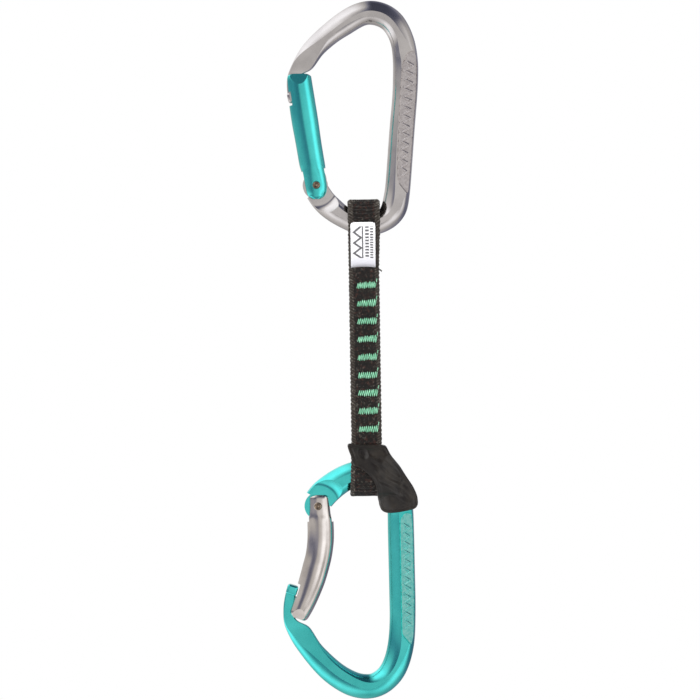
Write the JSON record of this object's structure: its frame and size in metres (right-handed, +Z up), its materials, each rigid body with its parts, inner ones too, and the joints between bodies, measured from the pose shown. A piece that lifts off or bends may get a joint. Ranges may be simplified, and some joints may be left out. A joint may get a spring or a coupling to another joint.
{
  "type": "climbing quickdraw",
  "caption": "Climbing quickdraw: straight-gate carabiner, stitched dark tape sling and bent-gate carabiner held by a rubber keeper.",
  "frame": {"origin": "the hang point, inside the crown of the upper carabiner's top bend, where a bolt hanger bears, midway through the bar's depth", "axes": "+Z up along the hanging quickdraw, +X from the gates towards the spines, Y through the depth of the bars"},
  "size_m": [0.0624, 0.0223, 0.3036],
  "materials": {
    "polished_aluminium": "polished",
    "turquoise_anodised": "anodised turquoise, satin",
    "bright_steel": "turned",
    "dark_webbing": "woven tape",
    "mint_thread": "zigzag stitching",
    "white_label": "printed ribbon",
    "dark_rubber": "matt, moulded"
  },
  "bodies": {
    "upper_carabiner": {"upper_body": "polished_aluminium", "upper_gate_rivet": "bright_steel"},
    "upper_gate": {"upper_gate": "turquoise_anodised", "upper_gate_spring": "bright_steel"},
    "upper_plunger": {"upper_gate_plunger": "bright_steel"},
    "sling": {"sling_tape": "dark_webbing", "sling_label": "white_label", "bartack_1": "mint_thread", "bartack_2": "mint_thread", "bartack_3": "mint_thread", "bartack_4": "mint_thread", "bartack_5": "mint_thread", "bartack_6": "mint_thread", "bartack_7": "mint_thread", "bartack_8": "mint_thread", "bartack_9": "mint_thread"},
    "lower_carabiner": {"lower_body": "turquoise_anodised", "lower_gate_rivet": "bright_steel", "rubber_keeper": "dark_rubber"},
    "lower_gate": {"lower_gate": "polished_aluminium", "lower_gate_spring": "bright_steel"},
    "lower_plunger": {"lower_gate_plunger": "bright_steel"}
  },
  "joints": [
    {"name": "upper_gate_hinge", "type": "hinge", "parent": "upper_carabiner", "child": "upper_gate", "pos_m": [-0.024, 0, -0.0697], "axis": [0, 1, 0], "range_deg": [0, 30], "stiffness_Nm_per_rad": 0.3, "springref_deg": -45.84},
    {"name": "upper_plunger_slide", "type": "slide", "parent": "upper_gate", "child": "upper_plunger", "axis": [-0.1418, 0, 0.9899], "range_m": [0, 0.0012], "deforming": ["upper_gate_spring"]},
    {"name": "sling_swing", "type": "hinge", "parent": "upper_carabiner", "child": "sling", "pos_m": [-0.0039, 0, -0.0872], "axis": [1, 0, 0], "range_deg": [-90, 90]},
    {"name": "lower_swing", "type": "hinge", "parent": "sling", "child": "lower_carabiner", "pos_m": [-0.0039, 0, -0.1945], "axis": [1, 0, 0], "range_deg": [-15, 15], "stiffness_Nm_per_rad": 0.15, "deforming": ["rubber_keeper"]},
    {"name": "lower_gate_hinge", "type": "hinge", "parent": "lower_carabiner", "child": "lower_gate", "pos_m": [-0.0254, 0, -0.2089], "axis": [0, -1, 0], "range_deg": [0, 30], "stiffness_Nm_per_rad": 0.3, "springref_deg": -45.84},
    {"name": "lower_plunger_slide", "type": "slide", "parent": "lower_gate", "child": "lower_plunger", "axis": [0, 0, -1], "range_m": [0, 0.0012], "deforming": ["lower_gate_spring"]}
  ],
  "couplings": [
    {"joint": "upper_plunger_slide", "follows": "upper_gate_hinge", "m_per_rad": 0.0022918},
    {"joint": "lower_plunger_slide", "follows": "lower_gate_hinge", "m_per_rad": 0.0022918}
  ]
}
